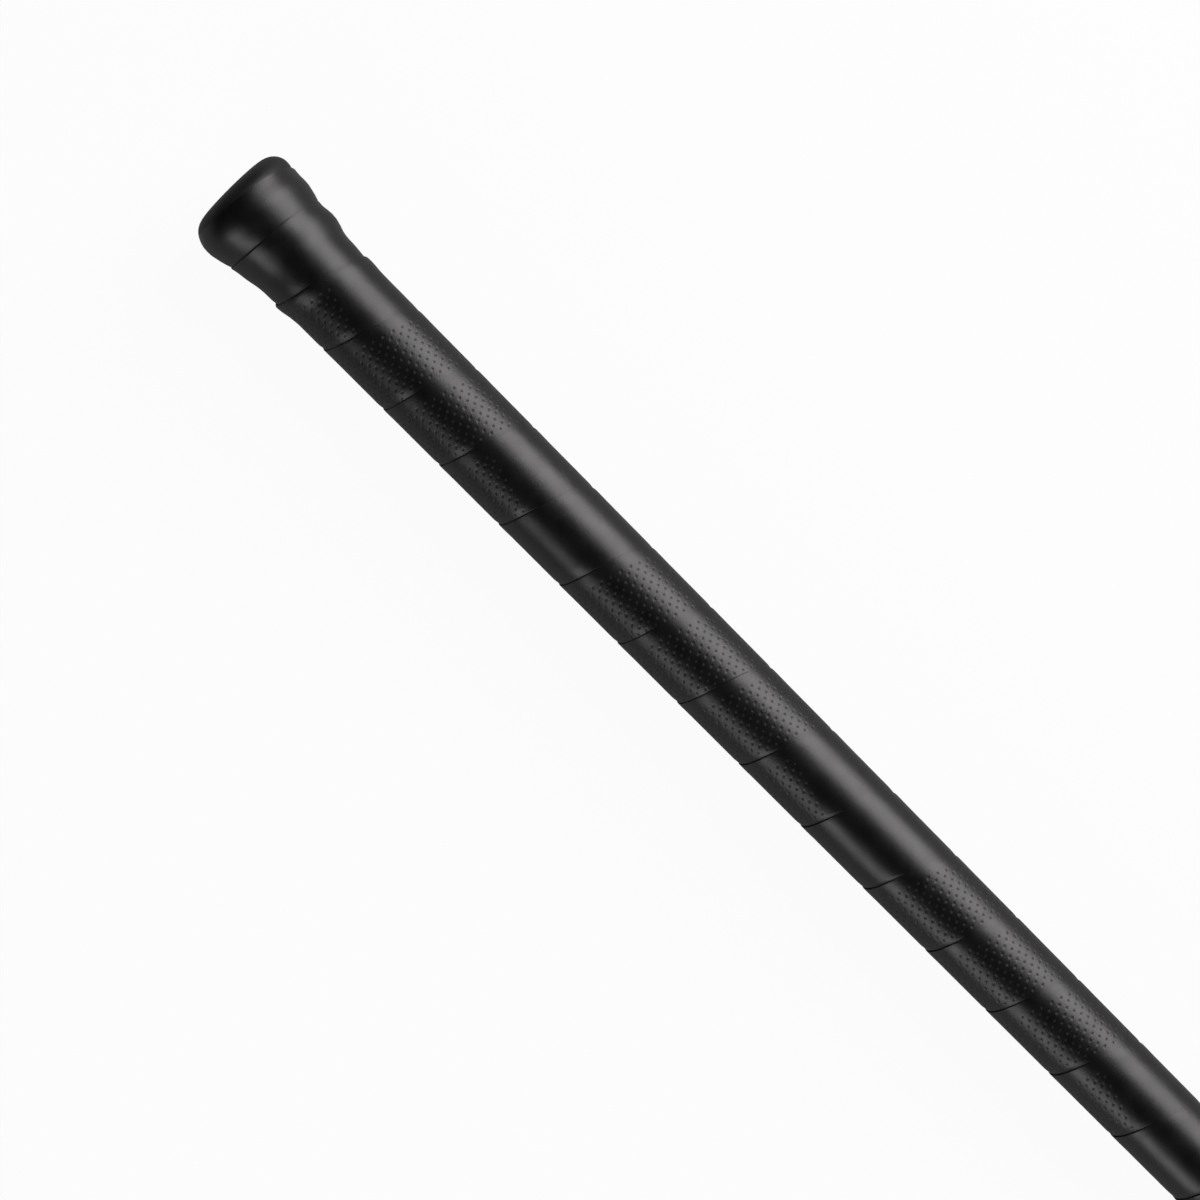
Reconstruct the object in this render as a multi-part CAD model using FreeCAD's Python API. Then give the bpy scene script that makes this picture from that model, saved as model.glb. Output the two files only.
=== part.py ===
"""Floorball stick: tapered tube shaft, plugged end cap, wound grip and a moulded blade held by two screws.

Frame: +X runs down the shaft from the butt, +Z is up and the stick lies with its forehand face down.
The origin is the centre of the butt face. Lengths are millimetres, angles are degrees.
"""
import FreeCAD
import Part
import math
import os

Vector = FreeCAD.Vector

# Shaft: tapers under the grip, runs parallel below it, then tapers to a parallel tip in the hosel
SHAFT_LENGTH = 960.0
SHAFT_BUTT_D = 26.5
SHAFT_MID_D = 22.6
SHAFT_TIP_D = 20.0
SHAFT_WALL = 1.2
GRIP_TAPER_LENGTH = 470.0
TIP_TAPER_LENGTH = 106.0

# End cap: head on the shaft's end, flared skirt over the shaft and a plug in the bore
CAP_HEAD = 7.0
CAP_RIM_D = 37.2
CAP_CORNER_R = 5.0
CAP_CORNER_RUNS = 3
CAP_RIM_LENGTH = 2.0
CAP_FLARE_LENGTH = 25.0
CAP_SHOULDER_R = 8.0
CAP_WAIST_R = 30.0
CAP_WAIST_RUNS = 2
CAP_SKIRT_LENGTH = 7.0
CAP_SKIRT_WALL = 0.5
PLUG_LENGTH = 60.0
PLUG_CORE_D = 12.0
PLUG_CORE_DEPTH = 54.0
CAP_CLEARANCE = 0.05

# Grip tape: one strip wound left-handed from the cap's rim, each turn lapping over the one before
TAPE_THICKNESS = 1.55
TAPE_EDGE = 0.65
TAPE_EDGE_RUN = 0.3
TAPE_SKIVE_RUN = 4.8
TAPE_OVERLAP = 1.8
TAPE_TAIL_RUN = 3.0
TAPE_LAP_GAP = 0.56
TAPE_CLEARANCE = 0.08
TAPE_START = 3.2
TAPE_START_EASE = 1.5
TAPE_START_THICKNESS = 0.9
TAPE_FULL_TURN = 0.7
TAPE_LAST_WIDTH = 4.0
LAP_RISE_TURN = 0.8
LAP_FULL_TURN = 0.97
FIRST_PITCH = 18.0
GRIP_PITCH = 27.1
PITCH_RISE_TURN = 2.2
PITCH_STEADY_TURN = 3.4
GRIP_LENGTH = 446.0
TURN_SPANS = 4
TANGENT_STEP = 0.001
GAP_CHECKS = 12
BED_CHECKS = 8

# Finishing tape: a thin band round the lower end of the grip
BAND_THICKNESS = 0.5
BAND_ON_GRIP = 7.0
BAND_SLOPE = 1.2
BAND_ON_SHAFT = 11.0
BAND_CLEARANCE = 0.1

# Blade: hosel on the shaft, rim, web with slanted windows, and a hook that starts past the heel
LIE_ANGLE = 57.0
BLADE_LENGTH = 236.0
BLADE_HEIGHT = 56.0
TOE_HEIGHT = 68.0
TOE_RISE = 9.0
TOE_LEAN = 16.0
TOE_LOWER_R = 30.0
TOE_UPPER_R = 24.0
HEEL_OVERHANG = 14.0
HEEL_R = 15.0
BELLY_AT = 118.0
BELLY_R = 420.0
TOP_BEND_AT = 78.0
TOP_BEND_R = 220.0
NECK_R = 24.0
NECK_HALF_WIDTH = 9.5
NECK_END_R = 1.0
RIM_WIDTH = 6.5
RIM_THICKNESS = 8.0
WEB_THICKNESS = 3.4
SPINE_WIDTH = 5.5
SPINE_THICKNESS = 5.6
HOOK_START = 45.0
HEEL_SOLID = 6.0
POCKET_R = 4.0
WINDOW_PITCH = 23.5
WINDOW_GAP = 5.0
WINDOW_HEEL_LEAN = 60.0
WINDOW_TOE_LEAN = 76.0
WINDOW_START = 36.0
WINDOW_TOE_MARGIN = 12.0
WINDOW_LEDGE = 1.2
HOSEL_DEPTH = 64.0
HOSEL_WALL = 2.9
HOSEL_MOUTH_CHAMFER = 0.9
HOSEL_TAIL = 48.0
SOCKET_CLEARANCE = 0.1
SOCKET_FLOOR_GAP = 1.0
HEEL_BELOW_TIP = 72.0

# Blade screws: one through each face of the hosel, staggered along it
SCREW_SETBACK = 20.0
SCREW_STAGGER = 15.0
SCREW_D = 2.9
SCREW_LENGTH = 9.0
SCREW_TIP_LENGTH = 1.6
SCREW_HEAD_D = 6.0
SCREW_HEAD_HEIGHT = 1.7
SCREW_HEAD_CHAMFER = 0.5
SCREW_CLEARANCE = 0.1
SCREW_RECESS_WIDTH = 0.9
SCREW_RECESS_SPAN = 3.2
SCREW_RECESS_DEPTH = 1.0
BOSS_D = 10.0
BOSS_RISE = 0.6
COUNTERBORE_DEPTH = 1.2
COUNTERBORE_GAP = 0.25

X_AXIS = Vector(1, 0, 0)
MARGIN = 40.0
ROUNDING_SHARE = 0.98
SLIGHT_TAPER = 0.02
LEVEL = 1e-6
CORNER_STEPS = 6

# Stations along the shaft
shaft_start = CAP_HEAD
shaft_end = shaft_start + SHAFT_LENGTH
taper_end = shaft_start + GRIP_TAPER_LENGTH
flare_start = CAP_CORNER_R + CAP_RIM_LENGTH
flare_end = flare_start + CAP_FLARE_LENGTH
skirt_end = flare_end + CAP_SKIRT_LENGTH
plug_end = shaft_start + PLUG_LENGTH
hosel_mouth = shaft_end - HOSEL_DEPTH
parallel_end = hosel_mouth - TIP_TAPER_LENGTH
socket_floor = shaft_end + SOCKET_FLOOR_GAP
heel_x = shaft_end + HEEL_BELOW_TIP
rest_radius = CAP_RIM_D / 2
socket_radius = SHAFT_TIP_D / 2 + SOCKET_CLEARANCE
hosel_radius = socket_radius + HOSEL_WALL
screw_seat = hosel_radius + BOSS_RISE - COUNTERBORE_DEPTH
lapped_share = TAPE_OVERLAP / TAPE_TAIL_RUN


def between(value, low, high):
    """How far value lies from low to high, from 0 to 1."""
    return min(1.0, max(0.0, (value - low) / (high - low)))


def eased(share):
    return share * share * (3 - 2 * share)


def shaft_radius(x):
    """Outer radius of the shaft at station x."""
    upper = SHAFT_BUTT_D + (SHAFT_MID_D - SHAFT_BUTT_D) * between(x, shaft_start, taper_end)
    return (upper + (SHAFT_TIP_D - SHAFT_MID_D) * between(x, parallel_end, hosel_mouth)) / 2


# Flare of the cap: an arc off the rim, a straight cone and an arc into the skirt, all tangent
skirt_radius = shaft_radius(flare_end) + CAP_SKIRT_WALL
flare_drop = rest_radius - skirt_radius
flare_bends = CAP_SHOULDER_R + CAP_WAIST_R
cone_length = math.sqrt(CAP_FLARE_LENGTH ** 2 + flare_drop ** 2 - 2 * flare_bends * flare_drop)
cone_angle = 2 * math.atan((CAP_FLARE_LENGTH - cone_length) / (2 * flare_bends - flare_drop))
cone_start = flare_start + CAP_SHOULDER_R * math.sin(cone_angle)
cone_end = flare_end - CAP_WAIST_R * math.sin(cone_angle)


def cap_radius(x):
    """Outer radius of the cap from its rounded corner to the end of its skirt."""
    if x < CAP_CORNER_R:
        return rest_radius - CAP_CORNER_R + math.sqrt(CAP_CORNER_R ** 2 - (CAP_CORNER_R - x) ** 2)
    if x < flare_start:
        return rest_radius
    if x < cone_start:
        return rest_radius - CAP_SHOULDER_R + math.sqrt(CAP_SHOULDER_R ** 2 - (x - flare_start) ** 2)
    if x < cone_end:
        return cap_radius(cone_end) + (cone_end - x) * math.tan(cone_angle)
    if x < flare_end:
        return skirt_radius + CAP_WAIST_R - math.sqrt(CAP_WAIST_R ** 2 - (flare_end - x) ** 2)
    return shaft_radius(x) + CAP_SKIRT_WALL


def polyline(points):
    return [Part.makeLine(first, second) for first, second in zip(points, points[1:])]


def turned_run(first, second):
    """A straight run of a turned profile; a slight taper is a curve of two poles, which meshes lightly."""
    along = abs(second.x - first.x)
    across = abs(second.y - first.y)
    if across < LEVEL or across > SLIGHT_TAPER * along:
        return Part.makeLine(first, second)
    run = Part.BezierCurve()
    run.setPoles([first, second])
    return run.toShape()


def turned(points):
    """Solid of revolution about the shaft's axis from the corners of a closed profile."""
    runs = [turned_run(first, second) for first, second in zip(points, points[1:] + points[:1])]
    return Part.Face(Part.Wire(runs)).revolve(Vector(), X_AXIS, 360)


def station(x, radius):
    return Vector(x, radius, 0)


def make_shaft(screw_holes):
    stations = (shaft_start, taper_end, parallel_end, hosel_mouth, shaft_end)
    outside = [station(x, shaft_radius(x)) for x in stations]
    inside = [station(x, shaft_radius(x) - SHAFT_WALL) for x in reversed(stations)]
    return turned(outside + inside).cut(screw_holes)


def make_end_cap():
    """Turned cap: its roundings are short straight runs, so that the piece stays light to mesh."""
    points = [station(0, 0)]
    for run in range(CAP_CORNER_RUNS + 1):
        x = CAP_CORNER_R * (1 - math.cos(math.radians(90 * run / CAP_CORNER_RUNS)))
        points.append(station(x, cap_radius(x)))
    waist = [cone_end + (flare_end - cone_end) * run / CAP_WAIST_RUNS for run in range(CAP_WAIST_RUNS)]
    points += [station(x, cap_radius(x)) for x in [flare_start, cone_start] + waist + [flare_end, skirt_end]]
    points += [station(x, shaft_radius(x) + CAP_CLEARANCE) for x in (skirt_end, shaft_start)]
    points += [station(x, shaft_radius(x) - SHAFT_WALL - CAP_CLEARANCE) for x in (shaft_start, plug_end)]
    core_floor = plug_end - PLUG_CORE_DEPTH
    points += [station(x, PLUG_CORE_D / 2) for x in (plug_end, core_floor)]
    return turned(points + [station(core_floor, 0)])


def helix_station(turn):
    """Station of the free winding's leading edge, in turns from the -Y side of the butt."""
    ramp = PITCH_STEADY_TURN - PITCH_RISE_TURN
    share = between(turn, PITCH_RISE_TURN, PITCH_STEADY_TURN)
    rise = share * share * ramp / 2 + max(0.0, turn - PITCH_STEADY_TURN)
    return FIRST_PITCH * turn + (GRIP_PITCH - FIRST_PITCH) * rise


def leading_edge(turn):
    """The strip's edge nearest the butt, trimmed square at the start of the winding."""
    ahead = (helix_station(turn) - TAPE_START) / TAPE_START_EASE
    return TAPE_START + TAPE_START_EASE * (max(ahead, 0.0) + math.log1p(math.exp(-abs(ahead))))


def trailing_edge(turn):
    """Where the next turn laps over, trimmed square at the lower end of the grip."""
    return min(leading_edge(turn + 1), GRIP_LENGTH)


def bed_radius(x):
    """What the strip lies on: the cap, then the shaft, with the skirt's end eased out."""
    if x < skirt_end:
        return cap_radius(max(x, 0.0)) + TAPE_CLEARANCE
    left = 1 - eased(between(x, skirt_end, skirt_end + CAP_SKIRT_LENGTH))
    return shaft_radius(x) + CAP_SKIRT_WALL * left + TAPE_CLEARANCE


def tape_thickness(turn):
    """The strip starts thin on the cap's rim and reaches its full thickness over the flare."""
    share = between(turn, 0.0, TAPE_FULL_TURN)
    return TAPE_START_THICKNESS + (TAPE_THICKNESS - TAPE_START_THICKNESS) * share


def strip_width(turn):
    return trailing_edge(turn) - leading_edge(turn)


def bulge(start, end):
    """How far the bed swells over the straight line between two stations."""
    low = bed_radius(start)
    rise = bed_radius(end) - low
    shares = [check / BED_CHECKS for check in range(BED_CHECKS + 1)]
    return max(bed_radius(start + share * (end - start)) - low - share * rise for share in shares)


def strip_lift(turn):
    """How far the strip's flat back has to rise to clear the swell of the cap under it."""
    start = leading_edge(turn)
    back = start + TAPE_SKIVE_RUN
    return max(bulge(start, back), bulge(back, trailing_edge(turn) + TAPE_OVERLAP))


def lapped(turn):
    """How far the winding has come from lying on the cap, 0, to lapping over its last turn, 1."""
    return eased(between(turn, LAP_RISE_TURN, LAP_FULL_TURN))


def lap_height(turn):
    """How high the leading edge rides: flat on the cap at first, then over the last turn's tail."""
    tail = lapped_share * tape_thickness(turn - 1) + strip_lift(turn - 1)
    return strip_lift(turn) * (1 - lapped(turn)) + (tail + TAPE_LAP_GAP) * lapped(turn)


def tape_section(turn):
    """Corners (distance from the leading edge, height over the bed) of the strip's section."""
    width = strip_width(turn)
    lift = strip_lift(turn)
    tail_end = width + TAPE_OVERLAP
    lap = lap_height(turn)
    share = lapped(turn)
    thickness = tape_thickness(turn)
    edge = TAPE_EDGE * thickness / TAPE_THICKNESS
    crest_run = TAPE_SKIVE_RUN + (TAPE_EDGE_RUN - TAPE_SKIVE_RUN) * share
    crest = (lift + thickness) * (1 - share) + (lap + edge) * share
    return [(0.0, lap), (crest_run, crest), (tail_end - TAPE_TAIL_RUN, lift + thickness),
            (tail_end, lift), (TAPE_SKIVE_RUN, lift)]


def tape_corner(turn, index):
    """A section corner in space: the strip turns from -Y over +Z to +Y as it runs down the shaft."""
    run, height = tape_section(turn)[index]
    x = leading_edge(turn) + run
    radius = bed_radius(x) + height
    angle = math.radians(360 * turn)
    return Vector(x, -radius * math.cos(angle), radius * math.sin(angle))


def tape_edge(start, end, index):
    """Poles of one long edge of the strip over a span: a cubic with the arc's own handles."""
    handle = 4 / 3 * math.tan(math.radians(360 * (end - start)) / 4) / math.radians(360)
    first = tape_corner(start, index)
    last = tape_corner(end, index)
    leaving = tape_heading(start, index) * handle
    arriving = tape_heading(end, index) * handle
    return [first, first + leaving, last - arriving, last]


def tape_heading(turn, index):
    """How fast a section corner moves, per turn."""
    ahead = tape_corner(turn + TANGENT_STEP, index)
    behind = tape_corner(turn - TANGENT_STEP, index)
    return (ahead - behind) * (0.5 / TANGENT_STEP)


def ruled_band(first, second):
    """Straight rulings between two long edges of the strip."""
    band = Part.BezierSurface()
    band.increase(len(first) - 1, 1)
    for place, (pole, opposite) in enumerate(zip(first, second)):
        band.setPole(place + 1, 1, pole)
        band.setPole(place + 1, 2, opposite)
    return band.toShape()


def make_grip_tape():
    """The strip as ruled bands between its long edges, span by span, closed by its two cut ends."""
    last_rise = (GRIP_PITCH - FIRST_PITCH) * (PITCH_RISE_TURN + PITCH_STEADY_TURN) / 2
    last_turn = (GRIP_LENGTH - TAPE_LAST_WIDTH + last_rise) / GRIP_PITCH
    spans = math.ceil(last_turn * TURN_SPANS)
    corners = len(tape_section(0.0))
    faces = []
    for span in range(spans):
        start = last_turn * span / spans
        end = last_turn * (span + 1) / spans
        edges = [tape_edge(start, end, index) for index in range(corners)]
        faces += [ruled_band(edges[index - 1], edges[index]) for index in range(corners)]
    for turn in (0.0, last_turn):
        outline = [tape_corner(turn, index) for index in range(corners)]
        faces.append(Part.Face(Part.Wire(polyline(outline + outline[:1]))))
    shell = Part.Shell(faces)
    shell.sewShape()
    tape = Part.Solid(shell)
    if tape.Volume < 0:
        tape.reverse()
    print("grip tape: %.2f turns, least gap to itself %.2f mm" % (last_turn, least_tape_gap(last_turn)))
    return tape


def least_tape_gap(last_turn):
    """Least distance between neighbouring turns, over points on both sections at the same angle."""
    least = GRIP_PITCH
    corners = range(len(tape_section(0.0)))
    for check in range(int((last_turn - 1) * GAP_CHECKS)):
        outlines = []
        for turn in (check / GAP_CHECKS, check / GAP_CHECKS + 1):
            points = [tape_corner(turn, index) for index in corners]
            outlines.append(Part.Wire(polyline(points + points[:1])))
        least = min(least, outlines[0].distToShape(outlines[1])[0])
    return least


def make_finishing_tape():
    """A band that laps over the grip's end and comes down onto the shaft."""
    lap = lapped_share * TAPE_THICKNESS + TAPE_LAP_GAP
    crown = lap + TAPE_EDGE + TAPE_CLEARANCE + BAND_CLEARANCE
    on_grip = GRIP_LENGTH - BAND_ON_GRIP
    step = GRIP_LENGTH + TAPE_OVERLAP
    foot = step + BAND_SLOPE
    band_end = foot + BAND_ON_SHAFT
    inside = [(on_grip, crown), (step, crown), (foot, BAND_CLEARANCE), (band_end, BAND_CLEARANCE)]
    lower = [station(x, shaft_radius(x) + height) for x, height in inside]
    upper = [station(x, shaft_radius(x) + height + BAND_THICKNESS) for x, height in reversed(inside)]
    return turned(lower + upper)


def rounded_wire(corners):
    """Closed outline through (x, y, corner radius), with a tangent arc at each corner."""
    count = len(corners)
    points = [Vector(x, y, 0) for x, y, _ in corners]
    sides = [points[index].distanceToPoint(points[(index + 1) % count]) for index in range(count)]
    halves = []
    for index in range(count):
        back = points[index - 1] - points[index]
        ahead = points[(index + 1) % count] - points[index]
        halves.append(back.getAngle(ahead) / 2)
    reaches = [corners[index][2] / math.tan(halves[index]) for index in range(count)]
    pairs = [reaches[index] + reaches[(index + 1) % count] for index in range(count)]
    fits = [min(1.0, ROUNDING_SHARE * side / pair) for side, pair in zip(sides, pairs)]
    joints = []
    for index in range(count):
        corner = points[index]
        reach = reaches[index] * min(fits[index - 1], fits[index])
        back = (points[index - 1] - corner).normalize()
        ahead = (points[(index + 1) % count] - corner).normalize()
        to_arc = reach * (1 - math.sin(halves[index])) / math.cos(halves[index])
        middle = corner + (back + ahead).normalize() * to_arc
        joints.append((corner + back * reach, middle, corner + ahead * reach))
    edges = []
    for index in range(count):
        start, middle, end = joints[index]
        edges.append(Part.Arc(start, middle, end).toShape())
        edges.append(Part.makeLine(end, joints[(index + 1) % count][0]))
    return Part.Wire(edges)


lie = math.radians(LIE_ANGLE)


def up_the_shaft(along, aside):
    """Blade plane point at a distance up the shaft's axis from the heel, and aside towards the toe."""
    return (aside * math.sin(lie) - along * math.cos(lie), aside * math.cos(lie) + along * math.sin(lie))


def top_edge(run):
    """Height of the blade's straight upper edge towards the toe."""
    return BLADE_HEIGHT + (TOE_HEIGHT - BLADE_HEIGHT) * (run - TOP_BEND_AT) / (BLADE_LENGTH - TOP_BEND_AT)


def bottom_edge(run):
    """Height of the blade's lower edge: flat to the belly, then rising to the toe."""
    return TOE_RISE * between(run, BELLY_AT, BLADE_LENGTH)


def blade_outline():
    """The blade seen square on: x from the heel point to the toe, y up from the playing edge."""
    neck_end = HEEL_BELOW_TIP + 2 * NECK_R
    neck_foot = (BLADE_HEIGHT - NECK_HALF_WIDTH * math.cos(lie)) / math.sin(lie)
    return rounded_wire([up_the_shaft(neck_end, -NECK_HALF_WIDTH) + (NECK_END_R,),
                         (-HEEL_OVERHANG, 0.0, HEEL_R), (BELLY_AT, 0.0, BELLY_R),
                         (BLADE_LENGTH + TOE_LEAN, bottom_edge(BLADE_LENGTH), TOE_LOWER_R),
                         (BLADE_LENGTH, top_edge(BLADE_LENGTH), TOE_UPPER_R),
                         (TOP_BEND_AT, BLADE_HEIGHT, TOP_BEND_R),
                         up_the_shaft(neck_foot, NECK_HALF_WIDTH) + (NECK_R,),
                         up_the_shaft(neck_end, NECK_HALF_WIDTH) + (NECK_END_R,)])


def blade_slab(outline, thickness):
    """A sheet of even thickness, flat at the heel and hooked until the toe is level with the cap's rim."""
    reach = outline.BoundBox.XMax - HOOK_START
    drop = rest_radius - RIM_THICKNESS / 2
    face_radius = (reach ** 2 + drop ** 2) / (2 * drop)
    middle_radius = face_radius + RIM_THICKNESS / 2
    sweep = math.asin((reach + MARGIN) / middle_radius)
    back = middle_radius + thickness / 2
    face = middle_radius - thickness / 2
    heel_end = outline.BoundBox.XMin - MARGIN

    def on_arc(radius, angle):
        return Vector(HOOK_START + radius * math.sin(angle), 0, middle_radius - radius * math.cos(angle))

    def hooked(radius):
        return Part.Arc(on_arc(radius, 0), on_arc(radius, sweep / 2), on_arc(radius, sweep)).toShape()

    heel_back = Vector(heel_end, 0, -thickness / 2)
    heel_face = Vector(heel_end, 0, thickness / 2)
    edges = polyline([on_arc(face, 0), heel_face, heel_back, on_arc(back, 0)])
    edges += [hooked(back), Part.makeLine(on_arc(back, sweep), on_arc(face, sweep)), hooked(face)]
    height = outline.BoundBox.YLength + 2 * MARGIN
    slab = Part.Face(Part.Wire(Part.__sortEdges__(edges))).extrude(Vector(0, height, 0))
    slab.translate(Vector(0, outline.BoundBox.YMin - MARGIN, 0))
    return slab


def prism(wire):
    """Upright prism over an outline in the blade's plane, deep enough for the hook."""
    depth = 2 * (rest_radius + MARGIN)
    solid = Part.Face(wire).extrude(Vector(0, 0, depth))
    solid.translate(Vector(0, 0, -depth / 2))
    return solid


def window_rib(rib, ribs, height):
    """Centre of a cross rib at a height over the playing edge; the ribs fan out towards the toe."""
    share = rib / ribs
    lean = math.radians(WINDOW_HEEL_LEAN + (WINDOW_TOE_LEAN - WINDOW_HEEL_LEAN) * share)
    return WINDOW_START + rib * WINDOW_PITCH - height / math.tan(lean)


def window_corner(rib, ribs, aside, edge):
    """Where a side of a cross rib meets an edge of the openings, given as a height along the blade."""
    run = WINDOW_START + rib * WINDOW_PITCH
    for _ in range(CORNER_STEPS):
        run = window_rib(rib, ribs, edge(run)) + aside
    return Vector(run, edge(run), 0)


def blade_windows():
    """Two rows of slanted openings between the cross ribs, a ledge away from the rim and the spine."""
    ribs = int((BLADE_LENGTH - WINDOW_TOE_MARGIN - WINDOW_START) / WINDOW_PITCH)
    off_rim = RIM_WIDTH + WINDOW_LEDGE
    off_spine = SPINE_WIDTH / 2 + WINDOW_LEDGE
    rows = ((lambda run: bottom_edge(run) + off_rim, lambda run: spine_height(run) - off_spine),
            (lambda run: spine_height(run) + off_spine, lambda run: top_edge(max(run, TOP_BEND_AT)) - off_rim))
    windows = []
    for rib in range(ribs):
        for low, high in rows:
            heel_side = [window_corner(rib, ribs, WINDOW_GAP / 2, edge) for edge in (low, high)]
            toe_side = [window_corner(rib + 1, ribs, -WINDOW_GAP / 2, edge) for edge in (high, low)]
            windows.append(prism(Part.Wire(polyline(heel_side + toe_side + heel_side[:1]))))
    return windows


def spine_height(run):
    """Height of the bar along the middle of the face."""
    return (bottom_edge(run) + top_edge(max(run, TOP_BEND_AT))) / 2


def blade_pocket(outline):
    """The recessed face inside the rim, kept off the solid heel under the hosel."""
    heel_side = NECK_HALF_WIDTH + HEEL_SOLID
    low_heel, high_heel = [up_the_shaft((height - heel_side * math.cos(lie)) / math.sin(lie), heel_side)
                           for height in (RIM_WIDTH, BLADE_HEIGHT - RIM_WIDTH)]
    low_toe, high_toe = [(2 * BLADE_LENGTH, height) for height in (RIM_WIDTH, 2 * TOE_HEIGHT)]
    corners = (low_heel, low_toe, high_toe, high_heel)
    face_side = prism(rounded_wire([corner + (POCKET_R,) for corner in corners]))
    return prism(outline.makeOffset2D(-RIM_WIDTH)).common(face_side)


def blade_spine():
    """The bar itself, bent where the edges bend and running into the rim at the toe."""
    runs = (0.0, TOP_BEND_AT, BELLY_AT, BLADE_LENGTH, BLADE_LENGTH + TOE_LEAN)
    low = [Vector(run, spine_height(run) - SPINE_WIDTH / 2, 0) for run in runs]
    high = [Vector(run, spine_height(run) + SPINE_WIDTH / 2, 0) for run in reversed(runs)]
    return prism(Part.Wire(polyline(low + high + low[:1])))


def make_blade(screw_cuts):
    outline = blade_outline()
    pocket = blade_pocket(outline)
    rim = prism(outline).common(blade_slab(outline, RIM_THICKNESS)).cut(pocket)
    web = pocket.common(blade_slab(outline, WEB_THICKNESS))
    spine = pocket.common(blade_spine()).common(blade_slab(outline, SPINE_THICKNESS))
    flat = rim.fuse([web, spine]).cut(Part.Compound(blade_windows()))
    toe_way = Vector(math.cos(lie), -math.sin(lie), 0)
    up_way = Vector(-math.sin(lie), -math.cos(lie), 0)
    turn = FreeCAD.Rotation(toe_way, up_way, Vector(0, 0, -1), "XYZ")
    flat.Placement = FreeCAD.Placement(Vector(heel_x, 0, 0), turn)
    return flat.fuse([make_hosel()] + make_bosses()).cut(make_socket()).cut(screw_cuts)


def make_hosel():
    """Tube round the shaft's tip, whose solid tail is flattened down to the blade's thickness."""
    lip = hosel_mouth + HOSEL_MOUTH_CHAMFER
    tail_end = socket_floor + HOSEL_TAIL
    tube = turned([station(hosel_mouth, 0), station(hosel_mouth, hosel_radius - HOSEL_MOUTH_CHAMFER),
                   station(lip, hosel_radius), station(socket_floor, hosel_radius),
                   station(tail_end, NECK_HALF_WIDTH), station(tail_end, 0)])
    ends = ((hosel_mouth, hosel_radius), (socket_floor, hosel_radius), (tail_end, RIM_THICKNESS / 2))
    upper = [Vector(x, -hosel_radius, half) for x, half in ends]
    lower = [Vector(x, -hosel_radius, -half) for x, half in reversed(ends)]
    wedge = Part.Face(Part.Wire(polyline(upper + lower + upper[:1])))
    return tube.common(wedge.extrude(Vector(0, 2 * hosel_radius, 0)))


def make_socket():
    depth = socket_floor - hosel_mouth + MARGIN
    return Part.makeCylinder(socket_radius, depth, Vector(hosel_mouth - MARGIN, 0, 0), X_AXIS)


def screw_seats():
    """Station and facing (+1 up, -1 down) of each blade screw."""
    first = hosel_mouth + SCREW_SETBACK
    return {"blade_screw_backhand": (first, 1), "blade_screw_forehand": (first + SCREW_STAGGER, -1)}


def make_screw(x, facing):
    """Pan head with a cross recess, plain shank and a pointed tip."""
    head = Part.makeCylinder(SCREW_HEAD_D / 2, SCREW_HEAD_HEIGHT, Vector(0, 0, screw_seat))
    crown = [edge for edge in head.Edges if edge.CenterOfMass.z > screw_seat + SCREW_HEAD_HEIGHT / 2
             and edge.Curve.TypeId == "Part::GeomCircle"]
    head = head.makeChamfer(SCREW_HEAD_CHAMFER, crown)
    for span, width in ((SCREW_RECESS_SPAN, SCREW_RECESS_WIDTH), (SCREW_RECESS_WIDTH, SCREW_RECESS_SPAN)):
        corner = Vector(-span / 2, -width / 2, screw_seat + SCREW_HEAD_HEIGHT - SCREW_RECESS_DEPTH)
        head = head.cut(Part.makeBox(span, width, SCREW_HEAD_HEIGHT, corner))
    shank_length = SCREW_LENGTH - SCREW_TIP_LENGTH
    shank = Part.makeCylinder(SCREW_D / 2, shank_length, Vector(0, 0, screw_seat - shank_length))
    tip = Part.makeCone(0, SCREW_D / 2, SCREW_TIP_LENGTH, Vector(0, 0, screw_seat - SCREW_LENGTH))
    return placed(head.fuse([shank, tip]), x, facing)


def placed(shape, x, facing):
    """A copy moved to its station, turned over when it faces down."""
    copy = shape.copy()
    if facing < 0:
        copy.rotate(Vector(), X_AXIS, 180)
    copy.translate(Vector(x, 0, 0))
    return copy


def make_bosses():
    """Flat-topped seats for the screw heads on the hosel."""
    bosses = []
    for x, facing in screw_seats().values():
        boss = Part.makeCylinder(BOSS_D / 2, HOSEL_WALL + BOSS_RISE, Vector(0, 0, socket_radius))
        bosses.append(placed(boss, x, facing))
    return bosses


def make_screw_cuts():
    """Counterbores and clearance holes through the hosel and the shaft's wall."""
    cuts = []
    for x, facing in screw_seats().values():
        bore = Part.makeCylinder(SCREW_HEAD_D / 2 + COUNTERBORE_GAP, MARGIN, Vector(0, 0, screw_seat))
        hole = Part.makeCylinder(SCREW_D / 2 + SCREW_CLEARANCE, screw_seat)
        cuts.append(placed(bore.fuse(hole), x, facing))
    return Part.Compound(cuts)


def main():
    os.makedirs("parts", exist_ok=True)
    screw_cuts = make_screw_cuts()
    nodes = {"shaft": make_shaft(screw_cuts), "end_cap": make_end_cap(), "grip_tape": make_grip_tape(),
             "finishing_tape": make_finishing_tape(), "blade": make_blade(screw_cuts)}
    for name, (x, facing) in screw_seats().items():
        nodes[name] = make_screw(x, facing)
    for name, shape in nodes.items():
        shape.exportStep("parts/%s.step" % name)
        box = shape.BoundBox
        print("%-22s solids %d valid %s volume %.0f box %.1f %.1f %.1f to %.1f %.1f %.1f" % (
            name, len(shape.Solids), shape.isValid(), shape.Volume,
            box.XMin, box.YMin, box.ZMin, box.XMax, box.YMax, box.ZMax))


main()
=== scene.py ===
"""Floorball stick: models its wound grip, cap, shaft, blade and screws round the CAD frame and lights them."""

import math

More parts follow.
